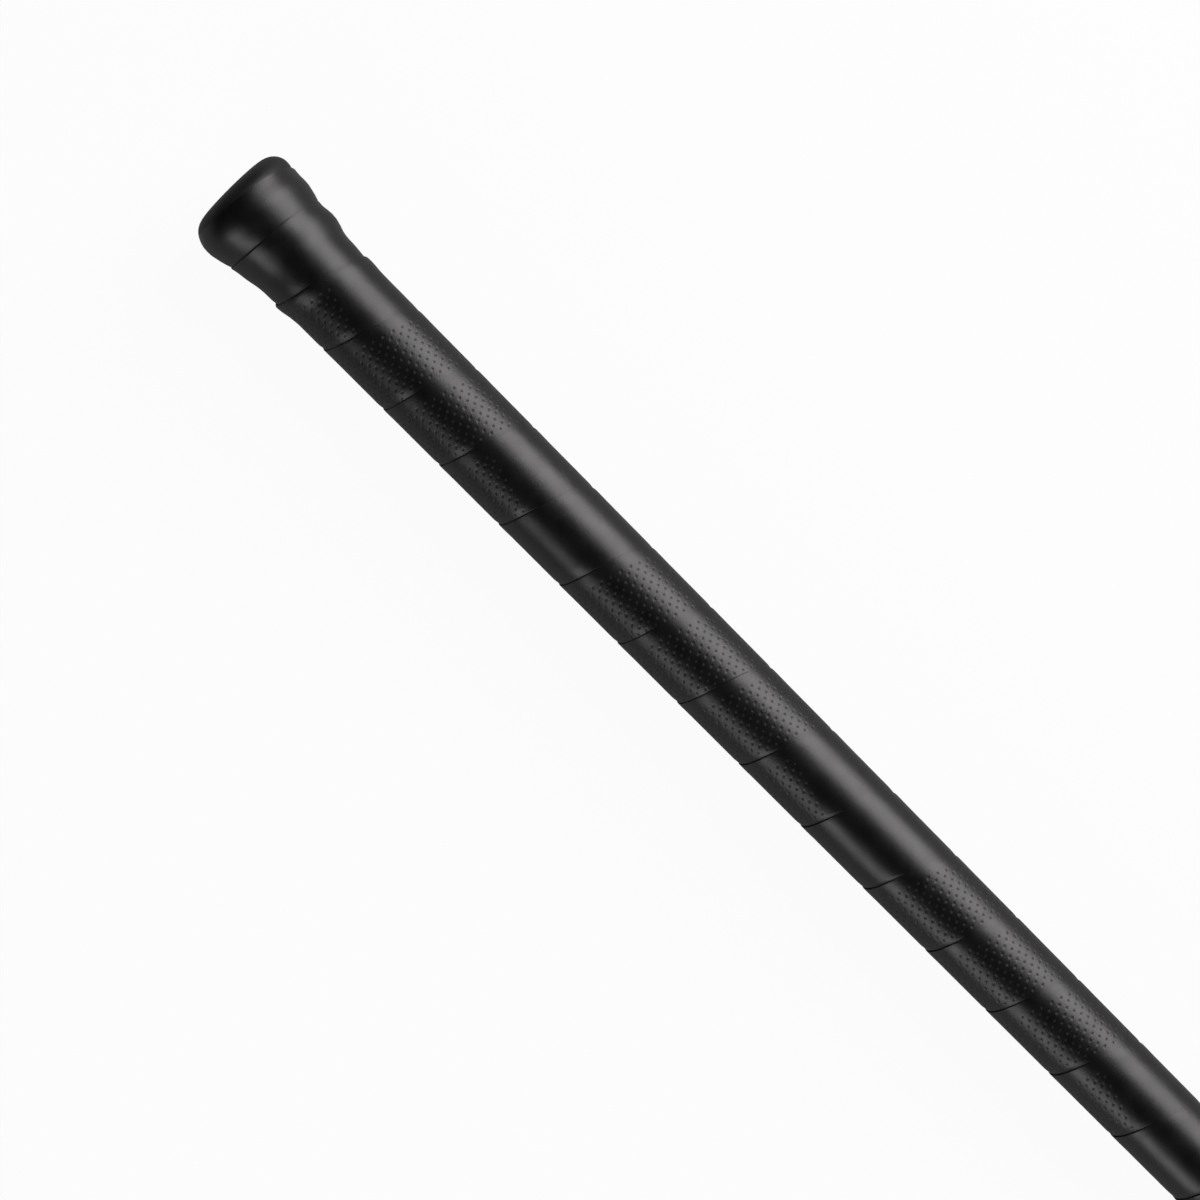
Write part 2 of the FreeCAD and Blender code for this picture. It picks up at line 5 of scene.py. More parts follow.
import bpy
import numpy as np
from bpy.props import FloatProperty, FloatVectorProperty, IntProperty, PointerProperty
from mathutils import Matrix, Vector


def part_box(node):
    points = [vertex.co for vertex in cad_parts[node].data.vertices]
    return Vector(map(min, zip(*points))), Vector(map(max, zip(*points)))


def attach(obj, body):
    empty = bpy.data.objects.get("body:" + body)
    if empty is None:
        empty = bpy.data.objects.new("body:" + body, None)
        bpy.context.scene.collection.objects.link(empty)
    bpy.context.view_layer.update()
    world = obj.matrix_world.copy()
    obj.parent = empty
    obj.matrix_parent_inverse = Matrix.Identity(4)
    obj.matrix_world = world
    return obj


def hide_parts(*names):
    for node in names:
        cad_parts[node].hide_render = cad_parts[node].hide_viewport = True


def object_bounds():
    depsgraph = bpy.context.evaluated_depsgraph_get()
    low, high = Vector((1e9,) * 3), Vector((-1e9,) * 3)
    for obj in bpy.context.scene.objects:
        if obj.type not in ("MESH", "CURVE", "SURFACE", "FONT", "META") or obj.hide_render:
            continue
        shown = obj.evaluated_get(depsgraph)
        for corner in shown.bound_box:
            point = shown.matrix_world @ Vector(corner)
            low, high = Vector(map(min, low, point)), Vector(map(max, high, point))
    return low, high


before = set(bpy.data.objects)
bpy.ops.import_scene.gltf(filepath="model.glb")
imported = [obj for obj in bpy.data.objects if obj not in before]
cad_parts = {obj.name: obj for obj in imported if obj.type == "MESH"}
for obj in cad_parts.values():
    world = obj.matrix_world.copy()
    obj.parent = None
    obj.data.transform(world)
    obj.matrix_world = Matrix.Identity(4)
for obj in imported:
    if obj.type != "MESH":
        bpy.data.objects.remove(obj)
cad_low, cad_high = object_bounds()

bl_info = {
    "name": "Floorball stick",
    "version": (1, 0, 0),
    "blender": (4, 5, 0),
    "location": "3D View > Sidebar > Stick",
    "description": "Models and finishes a floorball stick round its CAD frame",
    "category": "Object",
}

FULL_TURN = 2 * math.pi
QUARTER_TURN = math.pi / 2
MICRONS = 1e6

# Meshes: the seed of a turned piece, the distance at which doubles merge, smooth shading, and what a strip keeps.
SEED_SIZE = 0.001
MERGE_DISTANCE = 1e-6
SMOOTH_ANGLE = math.radians(40)
BLADE_SMOOTH_ANGLE = math.radians(32)
SCREW_SMOOTH_ANGLE = math.radians(20)
STRIP_MAP = "strip"
SUNK_NOTE = "sunk"

# Steps of the turned outlines and segments of the bevels.
CORNER_STEPS = 12
DOME_POINTS = 6
SHOULDER_STEPS = 6
WAIST_STEPS = 8
CROWN_STEPS = 5
SCREW_STEPS = 48
BLADE_SEGMENTS = 3
SCREW_SEGMENTS = 2
PIT_SEGMENTS = 2

# Course of the grip tape, in turns from the -Y side of the butt. Its pitch grows where it leaves the cap, and it
# starts square, slants from there and runs out under the finishing tape.
PITCH_RISE_TURN = 2.2
PITCH_STEADY_TURN = 3.4
START_EASE = 0.0015
SKEW_TURNS = (0.3, 1.8)
LAST_WIDTH = 0.004
MOST_TURNS = 30.0
TURN_SAMPLES = 30001
LENGTH_SAMPLES = 4001

# Unevenness of winding by hand: each turn with its shift along the shaft, and the laps' bow on the upper side.
LAP_SHIFTS = ((0.0, 0.0), (1.0, -0.0003), (1.5, -0.0045), (2.0, 0.0), (3.0, 0.0), (4.0, 0.0003), (5.0, -0.0021),
              (6.0, -0.0026), (7.0, -0.0028), (8.0, -0.0039), (9.0, -0.0045), (10.0, -0.0042), (11.0, -0.0037),
              (12.0, -0.0032), (13.0, -0.0024), (14.0, -0.0026), (15.0, -0.0016), (16.0, -0.0013), (17.5, 0.0))
LAP_BOW = 0.00125
LAP_BOW_TURNS = (3.0, 4.0)

# Section of the tape: it thickens over the first turn, climbs onto its own tail, is skived at the back under each
# lap, and dips and thins where the next turn covers it.
FULL_THICKNESS_TURN = 0.7
LAP_RISE_TURNS = (0.8, 0.97)
TAPE_CLEARANCE = 0.00004
SKIVE_RUN = 0.0048
TAIL_DIP = 0.00030
TAIL_DIP_RUN = 0.0026
HIDDEN_DROP = 0.75
START_RAMP = 0.008
CRISP_START_TURNS = (0.44, 0.62)

# Rise of a lap over the turn before it: turn, height and width of its flat. The first lap sags behind its rise.
LIP_RISES = ((0.9, 0.0001, 0.0012), (1.15, 0.0002, 0.0020), (1.35, 0.0007, 0.0060), (1.48, 0.0014, 0.0070),
             (1.6, 0.0015, 0.0070), (1.85, 0.0007, 0.0012), (2.0, 0.0006, 0.0006), (2.2, 0.0003, 0.0010),
             (2.5, 0.0003, 0.0020), (3.0, 0.00006, 0.0012))
SAG_DEPTHS = ((1.34, 0.0), (1.48, 0.0004), (1.60, 0.0004), (1.80, 0.0))
SAG_RUN = (0.010, 0.0155)

# Laps that are pressed flat: their place round the stick and its reach, in turns, the stretch of the first lap, and
# each turn with the run of a pressed edge.
SOFT_LAP_PLACE = 0.34
SOFT_LAP_REACH = (0.09, 0.18)
FIRST_LAP_SOFT = ((1.10, 1.30), (1.62, 1.85))
SOFT_LIP_RUNS = ((1.0, 0.0022), (1.4, 0.0060), (1.6, 0.0060), (2.2, 0.0022))

# Rows of the flat strip: those of the edge, in roundings of the lip, the plain ones and the pitted ones, with the
# turns that carry pits and the bevel's profile that makes a pit round.
LIP_SHARES = (0.0, 0.16, 0.5, 1.0, 2.6, 4.8)
PLAIN_ROWS = 2
PIT_ROWS = 12
PITTED_TURNS = ((1.89, 2.265), (2.89, 5.265), (6.89, 10.265), (11.89, 15.265), (16.89, 20.0))
PIT_ROUND_PROFILE = 0.0864
BACK_CUTS = 5

# Finishing tape: its grid, where it starts, the stretch in which it climbs onto itself, and its creases.
BAND_COLUMNS = 176
BAND_ROWS = 24
BAND_START_TURN = 0.12
BAND_LAP_TURNS = (0.94, 1.0)
BAND_CREASES = 11.0
BAND_CREASE_LEAN = 60.0
BAND_CREASE_REACH = 0.0022

# Finishes: where most of a noise lies, how much painted shade darkens a pit and how much duller it is, and the fibres
# under the lacquer.
NOISE_SPAN = (0.3, 0.7)
PIT_PAINTED_SHADE = 0.6
PIT_DULLNESS = 0.22
WEAVE_ALONG = 1400.0
WEAVE_AROUND = 16.0
WEAVE_SPAN = (-0.4, 0.4)
WEAVE_SHARE = 0.6

# Stage: the softboxes with the station each is aimed at, its lean off the vertical towards +X and +Y in degrees, its
# width and height, and the setting that holds its power.
LAMPS = (("key_softbox", 0.25, (0.0, 57.0), (1.2, 1.15), "key_power"),
         ("fill_softbox", 0.65, (0.0, -64.0), (1.0, 0.55), "fill_power"),
         ("end_softbox", 0.0, (-70.0, 0.0), (0.8, 0.8), "end_power"))
LAMP_DISTANCE = 1.3
LAMP_TINT = (1.0, 0.966, 0.980)
FLOOR_SIZE = 60.0
CAMERA_CLIP = (0.01, 100.0)
WHITE = (1.0, 1.0, 1.0, 1.0)

shaft_low, shaft_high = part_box("shaft")
_, cap_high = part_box("end_cap")
band_low, band_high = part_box("finishing_tape")
blade_low, blade_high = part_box("blade")


def length(name, description, default):
    """A length property, in metres."""
    return FloatProperty(name=name, description=description, default=default, unit="LENGTH", precision=5)


def angle(name, description, degrees):
    """An angle property."""
    return FloatProperty(name=name, description=description, default=math.radians(degrees), subtype="ANGLE")


def power(name, description, default):
    """A lamp's power property, in watts."""
    return FloatProperty(name=name, description=description, default=default, unit="POWER")


def fraction(name, description, default):
    """A property from 0 to 1."""
    return FloatProperty(name=name, description=description, default=default, subtype="FACTOR", min=0.0, max=1.0)


def colour(name, description, default):
    """A linear colour property."""
    return FloatVectorProperty(name=name, description=description, default=default, subtype="COLOR",
                               size=3, min=0.0, max=1.0)


class ShaftSizes(bpy.types.PropertyGroup):
    """The tube under the grip."""
    butt_radius: length("Butt radius", "Outer radius at the butt end", shaft_high.y)
    mid_radius: length("Parallel radius", "Outer radius of the parallel stretch", 0.0113)
    tip_radius: length("Tip radius", "Outer radius inside the hosel", 0.010)
    wall: length("Wall", "Thickness of the tube's wall", 0.0012)
    taper_end: length("Taper end", "Station where the grip's taper ends", 0.477)
    parallel_end: length("Parallel end", "Station where the parallel stretch ends", 0.797)


class CapSizes(bpy.types.PropertyGroup):
    """The moulded cap on the butt."""
    rim_radius: length("Rim radius", "Largest radius of the head", cap_high.y)
    corner: length("Corner", "Rounding of the butt edge", 0.0062)
    dome: length("Dome", "Rise of the butt face's middle over its edge", 0.00035)
    flare_length: length("Flare length", "From the rim to the skirt", 0.0258)
    shoulder: length("Shoulder", "Rounding off the rim", 0.008)
    waist: length("Waist", "Rounding into the skirt", 0.030)
    skirt_length: length("Skirt length", "Thin sleeve round the shaft", 0.007)
    skirt_wall: length("Skirt wall", "Thickness of the sleeve", 0.0005)
    core_radius: length("Core radius", "Hollow of the plug", 0.006)
    core_depth: length("Core depth", "Depth of the plug's hollow", 0.054)


class TapeSizes(bpy.types.PropertyGroup):
    """The wound strip of grip tape."""
    width: length("Tape width", "Width of the flat strip", 0.0277)
    thickness: length("Thickness", "Full thickness of the strip", 0.00196)
    start_thickness: length("Start thickness", "Thickness where the winding starts", 0.0014)
    lip_round: length("Lip rounding", "Rounding of the leading edge", 0.0005)
    lip_run: length("Lip run", "How far the rise of a lap runs out beyond its flat", 0.0055)
    first_pitch: length("First pitch", "Pitch of the winding on the cap", 0.018)
    pitch: length("Pitch", "Pitch of the winding on the shaft", 0.0271)
    start: length("Start", "Station of the first edge on the cap", 0.0032)
    end: length("End", "Station where the winding is cut off", 0.446)
    overlap: length("Overlap", "Hidden tail under the next turn", 0.0018)
    pit_pitch: length("Pit pitch", "Distance between pits along a row", 0.0035)
    pit_row: length("Pit row", "Distance between rows of pits", 0.0018)
    pit_radius: length("Pit radius", "Radius of a pit's rim", 0.00060)
    pit_slope: length("Pit slope", "Width of a pit's sloping wall", 0.00030)
    pit_depth: length("Pit depth", "Depth of a pit", 0.00010)


class BandSizes(bpy.types.PropertyGroup):
    """The stretch tape over the end of the winding."""
    rise: length("Rise", "Height of the winding under it", 0.00232)
    step_start: length("Step start", "Station where it leaves the winding", 0.4478)
    step_end: length("Step end", "Station where it reaches the shaft", 0.4490)
    shaft_gap: length("Shaft gap", "Gap to the bare shaft", 0.0001)
    layer: length("Layer", "Thickness of one layer", 0.00024)
    turns: FloatProperty(name="Turns", description="How often it goes round", default=1.62)
    wrinkle: length("Wrinkle", "Height of the creases at the step", 0.00010)


class BladeSizes(bpy.types.PropertyGroup):
    """The moulded blade."""
    rounding: length("Rounding", "Rounding of the moulded edges", 0.0004)
    hosel_width: length("Hosel width", "Width of the stretch at the hosel that keeps its own edges", 0.0327)
    hosel_end: length("Hosel end", "Station where that stretch ends on the heel's side", 0.982)
    flat_angle: angle("Flat angle", "Facets that meet at less than this are joined", 0.2)
    sharp_angle: angle("Sharp angle", "Edges that are sharper than this are rounded", 35)


class ScrewSizes(bpy.types.PropertyGroup):
    """The pan-head screws of the blade."""
    head_radius: length("Head radius", "Radius of the pan head", 0.003)
    head_height: length("Head height", "Height of the pan head", 0.0017)
    crown: length("Crown", "Rounding of the head's edge", 0.0007)
    shank_radius: length("Shank radius", "Radius of the shank", 0.00145)
    screw_length: length("Length", "From the seat to the tip", 0.009)
    tip: length("Tip", "Length of the point", 0.0016)
    seat: length("Seat", "Height of the head's seat over the shaft's axis", 0.0124)
    recess_span: length("Recess span", "Length of the cross recess", 0.0032)
    recess_width: length("Recess width", "Width of the cross recess", 0.0009)
    recess_depth: length("Recess depth", "Depth of the cross recess", 0.0010)
    edge: length("Edge", "Rounding of the recess", 0.00009)


class StickColours(bpy.types.PropertyGroup):
    """Base colours of the finishes."""
    tape: colour("Grip tape", "Cushioned grip tape", (0.0036, 0.0036, 0.0037))
    cap: colour("Cap", "Moulded rubber", (0.0070, 0.0070, 0.0072))
    shaft: colour("Shaft", "Fibre composite under its lacquer", (0.011, 0.011, 0.012))
    band: colour("Finishing tape", "Stretch tape", (0.009, 0.009, 0.0095))
    blade: colour("Blade", "Moulded plastic", (0.013, 0.013, 0.0138))
    screw: colour("Screws", "Plated steel", (0.55, 0.55, 0.57))
    floor: colour("Floor", "Studio floor", (0.90, 0.90, 0.90))
    floor_bounce: colour("Floor bounce", "What the floor throws back onto the stick", (0.35, 0.35, 0.35))


class StageSettings(bpy.types.PropertyGroup):
    """Camera and lamps."""
    lens: FloatProperty(name="Lens", description="Focal length in millimetres", default=200.0, unit="CAMERA")
    view_width: length("View width", "Width of the picture at the stick", 0.378)
    aim_x: length("Aim along", "Station at the middle of the picture", 0.1736)
    aim_y: length("Aim across", "Offset across the shaft at the middle of the picture", -0.0089)
    roll: angle("Roll", "Turn of the picture about the view", 45.156)
    key_power: power("Key power", "Softbox on the far side", 20.2)
    fill_power: power("Fill power", "Softbox on the near side", 5.2)
    end_power: power("End power", "Softbox beyond the butt", 0.35)
    sky: FloatProperty(name="Sky", description="Strength of the plain surroundings", default=0.012)
    floor_glow: fraction("Floor glow", "Share of plain white in the floor", 0.95)
    mirrored_glow: fraction("Mirrored glow", "Share of plain white in the floor's reflection", 0.13)


class StickSettings(bpy.types.PropertyGroup):
    """All settings of the stick."""
    shaft: PointerProperty(type=ShaftSizes, name="Shaft", description="Sizes of the shaft")
    cap: PointerProperty(type=CapSizes, name="Cap", description="Sizes of the end cap")
    tape: PointerProperty(type=TapeSizes, name="Grip tape", description="Sizes of the grip tape")
    band: PointerProperty(type=BandSizes, name="Finishing tape", description="Sizes of the finishing tape")
    blade: PointerProperty(type=BladeSizes, name="Blade", description="Skin of the blade")
    screw: PointerProperty(type=ScrewSizes, name="Screws", description="Sizes of the blade screws")
    colours: PointerProperty(type=StickColours, name="Colours", description="Base colours")
    stage: PointerProperty(type=StageSettings, name="Stage", description="Camera and lamps")
    turn_steps: IntProperty(name="Turning steps", description="Sides of a turned piece", default=128, min=16)


class Value:
    """A socket of a finish, on which arithmetic adds Math nodes."""

    def __init__(self, finish, socket):
        self.finish = finish
        self.socket = socket

    def __add__(self, other):
        return self.finish.maths("ADD", self, other)

    __radd__ = __add__

    def __sub__(self, other):
        return self.finish.maths("SUBTRACT", self, other)

    def __rsub__(self, other):
        return self.finish.maths("SUBTRACT", other, self)

    def __mul__(self, other):
        return self.finish.maths("MULTIPLY", self, other)

    __rmul__ = __mul__


class Finish:
    """A material and its nodes."""

    def __init__(self, name, base, roughness, sockets=None):
        self.material = bpy.data.materials.new(name)
        self.material.use_nodes = True
        self.base = Vector(base)
        self.tree = self.material.node_tree
        self.shader = self.tree.nodes["Principled BSDF"]
        self.shader.inputs["Base Color"].default_value = (*base, 1.0)
        self.shader.inputs["Roughness"].default_value = roughness
        for socket, value in (sockets or {}).items():
            self.shader.inputs[socket].default_value = value

    def put(self, socket, value):
        """Sets a socket, or links it where the value is another node's."""
        if isinstance(value, Value):
            self.tree.links.new(value.socket, socket)
        else:
            socket.default_value = value

    def node(self, kind, options=None, inputs=None, output=0):
        """Adds a node, with its settings first and then the values or links of its sockets."""
        node = self.tree.nodes.new(kind)
        for name, value in (options or {}).items():
            setattr(node, name, value)
        for name, value in (inputs or {}).items():
            self.put(node.inputs[name], value)
        return Value(self, node.outputs[output])

    def maths(self, operation, *values):
        """A Math node on one or two values."""
        return self.node("ShaderNodeMath", {"operation": operation}, dict(enumerate(values)))

    def noise(self, place, scale, detail):
        """Noise of about 0 to 1, with its scale in grains to a metre."""
        return self.node("ShaderNodeTexNoise", None, {"Vector": place, "Scale": scale, "Detail": detail})

    def stretched(self, place, scale):
        """Coordinates stretched along their axes."""
        return self.node("ShaderNodeMapping", None, {"Vector": place, "Scale": scale})

    def spread(self, value, span, low, high):
        """A value carried from a span to another range, and held at its ends."""
        return self.node("ShaderNodeMapRange", None, {"Value": value, "From Min": span[0], "From Max": span[1],
                                                      "To Min": low, "To Max": high})

    def blend(self, share, first, second):
        """A colour between two colours, which are sockets 6 and 7 of a Mix node, and its output 2."""
        return self.node("ShaderNodeMix", {"data_type": "RGBA"}, {0: share, 6: first, 7: second}, 2)

    def feed(self, socket, value):
        """Links a value to a socket of the shader."""
        self.put(self.shader.inputs[socket], value)

    def tint(self, share, low, high):
        """Varies the base colour between two multiples of it."""
        self.feed("Base Color", self.blend(share, (*(self.base * low), 1.0), (*(self.base * high), 1.0)))

    def bump(self, height, depth):
        """Relief from a height of 0 to 1, with its depth in metres."""
        relief = self.node("ShaderNodeBump", None, {"Height": height, "Distance": depth, "Strength": 1.0})
        self.feed("Normal", relief)

    def object_place(self):
        """Object coordinates."""
        return self.node("ShaderNodeTexCoord", None, None, "Object")

    def strip_place(self):
        """Places on the flat strip."""
        return self.node("ShaderNodeUVMap", {"uv_map": STRIP_MAP})

    def each_of(self, kind, outputs, inputs=None):
        """Several outputs of one kind of node."""
        return [self.node(kind, None, inputs, output) for output in outputs]


def between(value, low, high):
    """How far a value lies from low to high, from 0 to 1."""
    return np.clip((value - low) / (high - low), 0.0, 1.0)


def eased(share):
    """A share from 0 to 1 with soft ends."""
    return share * share * (3 - 2 * share)


def read_off(place, table, column=1):
    """A column of a table at a place, in proportion between the table's rows."""
    columns = np.array(table).T
    return np.interp(place, columns[0], columns[column])


def settings():
    """The scene's settings of the stick."""
    return bpy.context.scene.stick


def shaft_outline():
    """(Station, radius) corners of the shaft's outside."""
    sizes = settings().shaft
    return [(shaft_low.x, sizes.butt_radius), (sizes.taper_end, sizes.mid_radius),
            (sizes.parallel_end, sizes.mid_radius), (blade_low.x, sizes.tip_radius), (shaft_high.x, sizes.tip_radius)]


def shaft_radius(station):
    """Outer radius of the shaft at a station."""
    return read_off(station, shaft_outline())


def arc(centre, radius, first, last, steps):
    """(Station, radius) points on an arc, from one angle to another off the shaft's direction."""
    angles = np.linspace(first, last, steps + 1)
    return [(centre[0] + radius * math.cos(a), centre[1] + radius * math.sin(a)) for a in angles]


def cap_outline():
    """Outside of the cap, from the butt edge's rounding over the flare to the end of the skirt."""
    sizes = settings().cap
    flare_start = sizes.corner
    flare_end = flare_start + sizes.flare_length
    skirt_end = flare_end + sizes.skirt_length
    skirt_radius = float(shaft_radius(flare_end)) + sizes.skirt_wall
    # The flare's cone is straight and touches the roundings of the shoulder and the waist.
    drop = sizes.rim_radius - skirt_radius
    bends = sizes.shoulder + sizes.waist
    cone = math.sqrt(sizes.flare_length ** 2 + drop ** 2 - 2 * bends * drop)
    slope = 2 * math.atan((sizes.flare_length - cone) / (2 * bends - drop))
    corner = arc((sizes.corner, sizes.rim_radius - sizes.corner), sizes.corner, math.pi, QUARTER_TURN, CORNER_STEPS)
    outline = [(station + sizes.dome * (1 - station / sizes.corner), radius) for station, radius in corner]
    outline += arc((flare_start, sizes.rim_radius - sizes.shoulder), sizes.shoulder, QUARTER_TURN,
                   QUARTER_TURN - slope, SHOULDER_STEPS)
    outline += arc((flare_end, skirt_radius + sizes.waist), sizes.waist, -QUARTER_TURN - slope, -QUARTER_TURN,
                   WAIST_STEPS)
    return outline + [(skirt_end, float(shaft_radius(skirt_end)) + sizes.skirt_wall)]


def bed_radius(station):
    """What the tape lies on: the cap, then the shaft, with the skirt's end eased out."""
    outline = cap_outline()
    sizes = settings().cap
    skirt_end = outline[-1][0]
    left = 1 - eased(between(station, skirt_end, skirt_end + sizes.skirt_length))
    return np.where(station < skirt_end, read_off(station, outline),
                    shaft_radius(station) + sizes.skirt_wall * left)


def helix_station(turn):
    """Station of the free winding's leading edge at a turn."""
    sizes = settings().tape
    ramp = PITCH_STEADY_TURN - PITCH_RISE_TURN
    share = between(turn, PITCH_RISE_TURN, PITCH_STEADY_TURN)
    rise = share * share * ramp / 2 + np.maximum(0.0, turn - PITCH_STEADY_TURN)
    bow = LAP_BOW * np.maximum(0.0, np.sin(FULL_TURN * turn)) * between(turn, *LAP_BOW_TURNS)
    drift = read_off(turn, LAP_SHIFTS) - bow
    return sizes.first_pitch * turn + (sizes.pitch - sizes.first_pitch) * rise + drift


def leading_edge(turn):
    """The strip's edge nearest the butt, trimmed square at the start of the winding."""
    start = settings().tape.start
    return start + START_EASE * np.logaddexp(0.0, (helix_station(turn) - start) / START_EASE)


def tape_thickness(turn):
    """Thickness of the strip, which is stretched thin at its start."""
    sizes = settings().tape
    share = between(turn, 0.0, FULL_THICKNESS_TURN)
    return sizes.start_thickness + (sizes.thickness - sizes.start_thickness) * share


def last_turn():
    """Where the winding runs out under the finishing tape."""
    sizes = settings().tape
    turns = np.linspace(0.0, MOST_TURNS, TURN_SAMPLES)
    return float(np.interp(sizes.end - LAST_WIDTH, helix_station(turns), turns))


def wound_lengths():
    """Turns, and the length of strip wound up to each of them."""
    turns = np.linspace(0.0, last_turn(), LENGTH_SAMPLES)
    stations = leading_edge(turns)
    around = FULL_TURN * (bed_radius(stations + settings().tape.pitch / 2) + settings().tape.thickness)
    steps = np.hypot(around[:-1] * np.diff(turns), np.diff(stations))
    return turns, np.concatenate(([0.0], np.cumsum(steps)))


def laid(along, across):
    """Turn, run along the shaft from the leading edge and visible width, for places on the flat strip."""
    sizes = settings().tape
    turns, lengths = wound_lengths()
    turn = np.interp(along, lengths, turns)
    around = FULL_TURN * (bed_radius(leading_edge(turn) + across) + sizes.thickness)
    slant = np.arctan(sizes.pitch / around) * eased(between(turn, *SKEW_TURNS))
    turn = np.maximum(turn - across * np.sin(slant) / around, 0.0)
    run = across / np.cos(slant)
    width = np.minimum(leading_edge(turn + 1), sizes.end) - leading_edge(turn)
    # The first half of the strip's tail reaches the next lap, and the second half lies under it.
    last_pit = sizes.pit_row * (PLAIN_ROWS + PIT_ROWS)
    tail = between(across, last_pit, sizes.width) * 2
    seen = np.minimum(last_pit / np.cos(slant), width)
    tail_run = seen + (width - seen) * np.minimum(tail, 1.0) + sizes.overlap * np.maximum(tail - 1, 0.0)
    return turn, np.where(across > last_pit, tail_run, np.minimum(run, width)), width


def softness(turn):
    """How far the lap is pressed flat, which it is on one side of the stick."""
    off = np.abs((turn - SOFT_LAP_PLACE + 0.5) % 1.0 - 0.5)
    first = eased(between(turn, *FIRST_LAP_SOFT[0])) * (1 - eased(between(turn, *FIRST_LAP_SOFT[1])))
    return np.maximum(first, 1 - eased(between(off, *SOFT_LAP_REACH)))


def tape_heights(turn, run, width):
    """Heights of the strip's face and back over its bed."""
    sizes = settings().tape
    soft = softness(turn)
    thickness = tape_thickness(turn)
    under = tape_thickness(turn - 1)
    lapped = eased(between(turn, *LAP_RISE_TURNS))
    base = lapped * under
    crest = thickness * (1 - lapped) + (under + read_off(turn, LIP_RISES)) * lapped
    flat = read_off(turn, LIP_RISES, 2)
    fall = eased(between(run, flat, flat + sizes.lip_run))
    dip = TAIL_DIP * (1 - soft)
    face = crest + (thickness - crest) * fall - dip * eased(between(run, width - TAIL_DIP_RUN, width))
    face = face - read_off(turn, SAG_DEPTHS) * eased(between(run, *SAG_RUN))
    # The edge is round, or a slope where it is pressed flat or where the winding starts.
    rounding = between(run, 0.0, sizes.lip_round)
    rounding = np.sqrt(rounding * (2 - rounding))
    ramp = eased(between(run / read_off(turn, SOFT_LIP_RUNS), 0.0, 1.0))
    rounding = rounding + (ramp - rounding) * soft
    crisp = eased(between(turn, *CRISP_START_TURNS))
    rounding = rounding * crisp + eased(between(run, 0.0, START_RAMP)) * (1 - crisp)
    face = base + (face - base) * rounding
    face = face * (1 - HIDDEN_DROP * eased(between(run, width, width + sizes.overlap)))
    back = base * (1 - between(run, 0.0, SKIVE_RUN))
    return face + TAPE_CLEARANCE, np.minimum(back, face) + TAPE_CLEARANCE


def about_shaft(station, radius, turn):
    """Places at stations and radii, in turns from the -Y side over the top."""
    turned_by = FULL_TURN * turn
    return np.column_stack((station, -radius * np.cos(turned_by), radius * np.sin(turned_by)))


def wound(flat):
    """Places of the flat strip's points on the stick: x along the strip, y across it and z down from its face."""
    turn, run, width = laid(flat[:, 0], flat[:, 1])
    face, back = tape_heights(turn, run, width)
    station = leading_edge(turn) + run
    depth = between(-flat[:, 2], 0.0, settings().tape.thickness)
    return about_shaft(station, bed_radius(station) + face + (back - face) * depth, turn)


def deselect():
    """Leaves edit mode and selects nothing."""
    if bpy.context.object and bpy.context.object.mode != "OBJECT":
        bpy.ops.object.mode_set(mode="OBJECT")
    bpy.ops.object.select_all(action="DESELECT")


def pick(piece):
    """Makes a piece the only selected one, and the active one."""
    deselect()
    bpy.context.view_layer.objects.active = piece
    piece.select_set(True)


def points_of(mesh):
    """Places of a mesh's vertices."""
    places = np.empty(len(mesh.vertices) * 3)
    mesh.vertices.foreach_get("co", places)
    return places.reshape(-1, 3)


def set_points(mesh, places):
    """Moves a mesh's vertices to places."""
    mesh.vertices.foreach_set("co", places.ravel())
    mesh.update()


def ends_of(mesh):
    """The two vertices of each of a mesh's edges."""
    return np.array([edge.vertices[:] for edge in mesh.edges])


def select_only(mesh, kind, marks):
    """Selects the marked vertices, edges or faces of a mesh and opens it for editing."""
    group = {"VERT": mesh.vertices, "EDGE": mesh.edges, "FACE": mesh.polygons}[kind]
    bpy.ops.object.mode_set(mode="EDIT")
    bpy.ops.mesh.select_mode(type=kind)
    bpy.ops.mesh.select_all(action="DESELECT")
    bpy.ops.object.mode_set(mode="OBJECT")
    group.foreach_set("select", np.asarray(marks, bool))
    bpy.ops.object.mode_set(mode="EDIT")


def keep_strip(mesh, flat):
    """Keeps the vertices' places on the flat strip as a UV map."""
    corners = np.empty(len(mesh.loops), int)
    mesh.loops.foreach_get("vertex_index", corners)
    mesh.uv_layers.new(name=STRIP_MAP).uv.foreach_set("vector", flat[corners].ravel())


def grid(name, columns, rows):
    """A flat grid, and its vertices' shares of the way along x and y."""
    deselect()
    bpy.ops.mesh.primitive_grid_add(x_subdivisions=columns, y_subdivisions=rows, size=2.0)
    piece = bpy.context.object
    piece.name = name
    return piece, (points_of(piece.data)[:, :2] + 1) / 2


def turned(name, outline, steps=None):
    """A piece turned round the shaft's axis from the (station, radius) corners of its half section."""
    deselect()
    bpy.ops.mesh.primitive_plane_add(size=SEED_SIZE)
    piece = bpy.context.object
    piece.name = name
    bpy.ops.object.mode_set(mode="EDIT")
    bpy.ops.mesh.select_mode(type="VERT")
    bpy.ops.mesh.select_all(action="SELECT")
    bpy.ops.mesh.merge(type="CENTER")
    corners = [Vector((station, 0.0, radius)) for station, radius in outline]
    bpy.ops.transform.translate(value=corners[0])
    for last, corner in zip(corners, corners[1:]):
        bpy.ops.mesh.extrude_region_move(TRANSFORM_OT_translate={"value": corner - last})
    bpy.ops.mesh.select_all(action="SELECT")
    bpy.ops.mesh.spin(steps=steps or settings().turn_steps, angle=FULL_TURN, center=(0, 0, 0), axis=(1, 0, 0))
    tidy_mesh()
    return piece


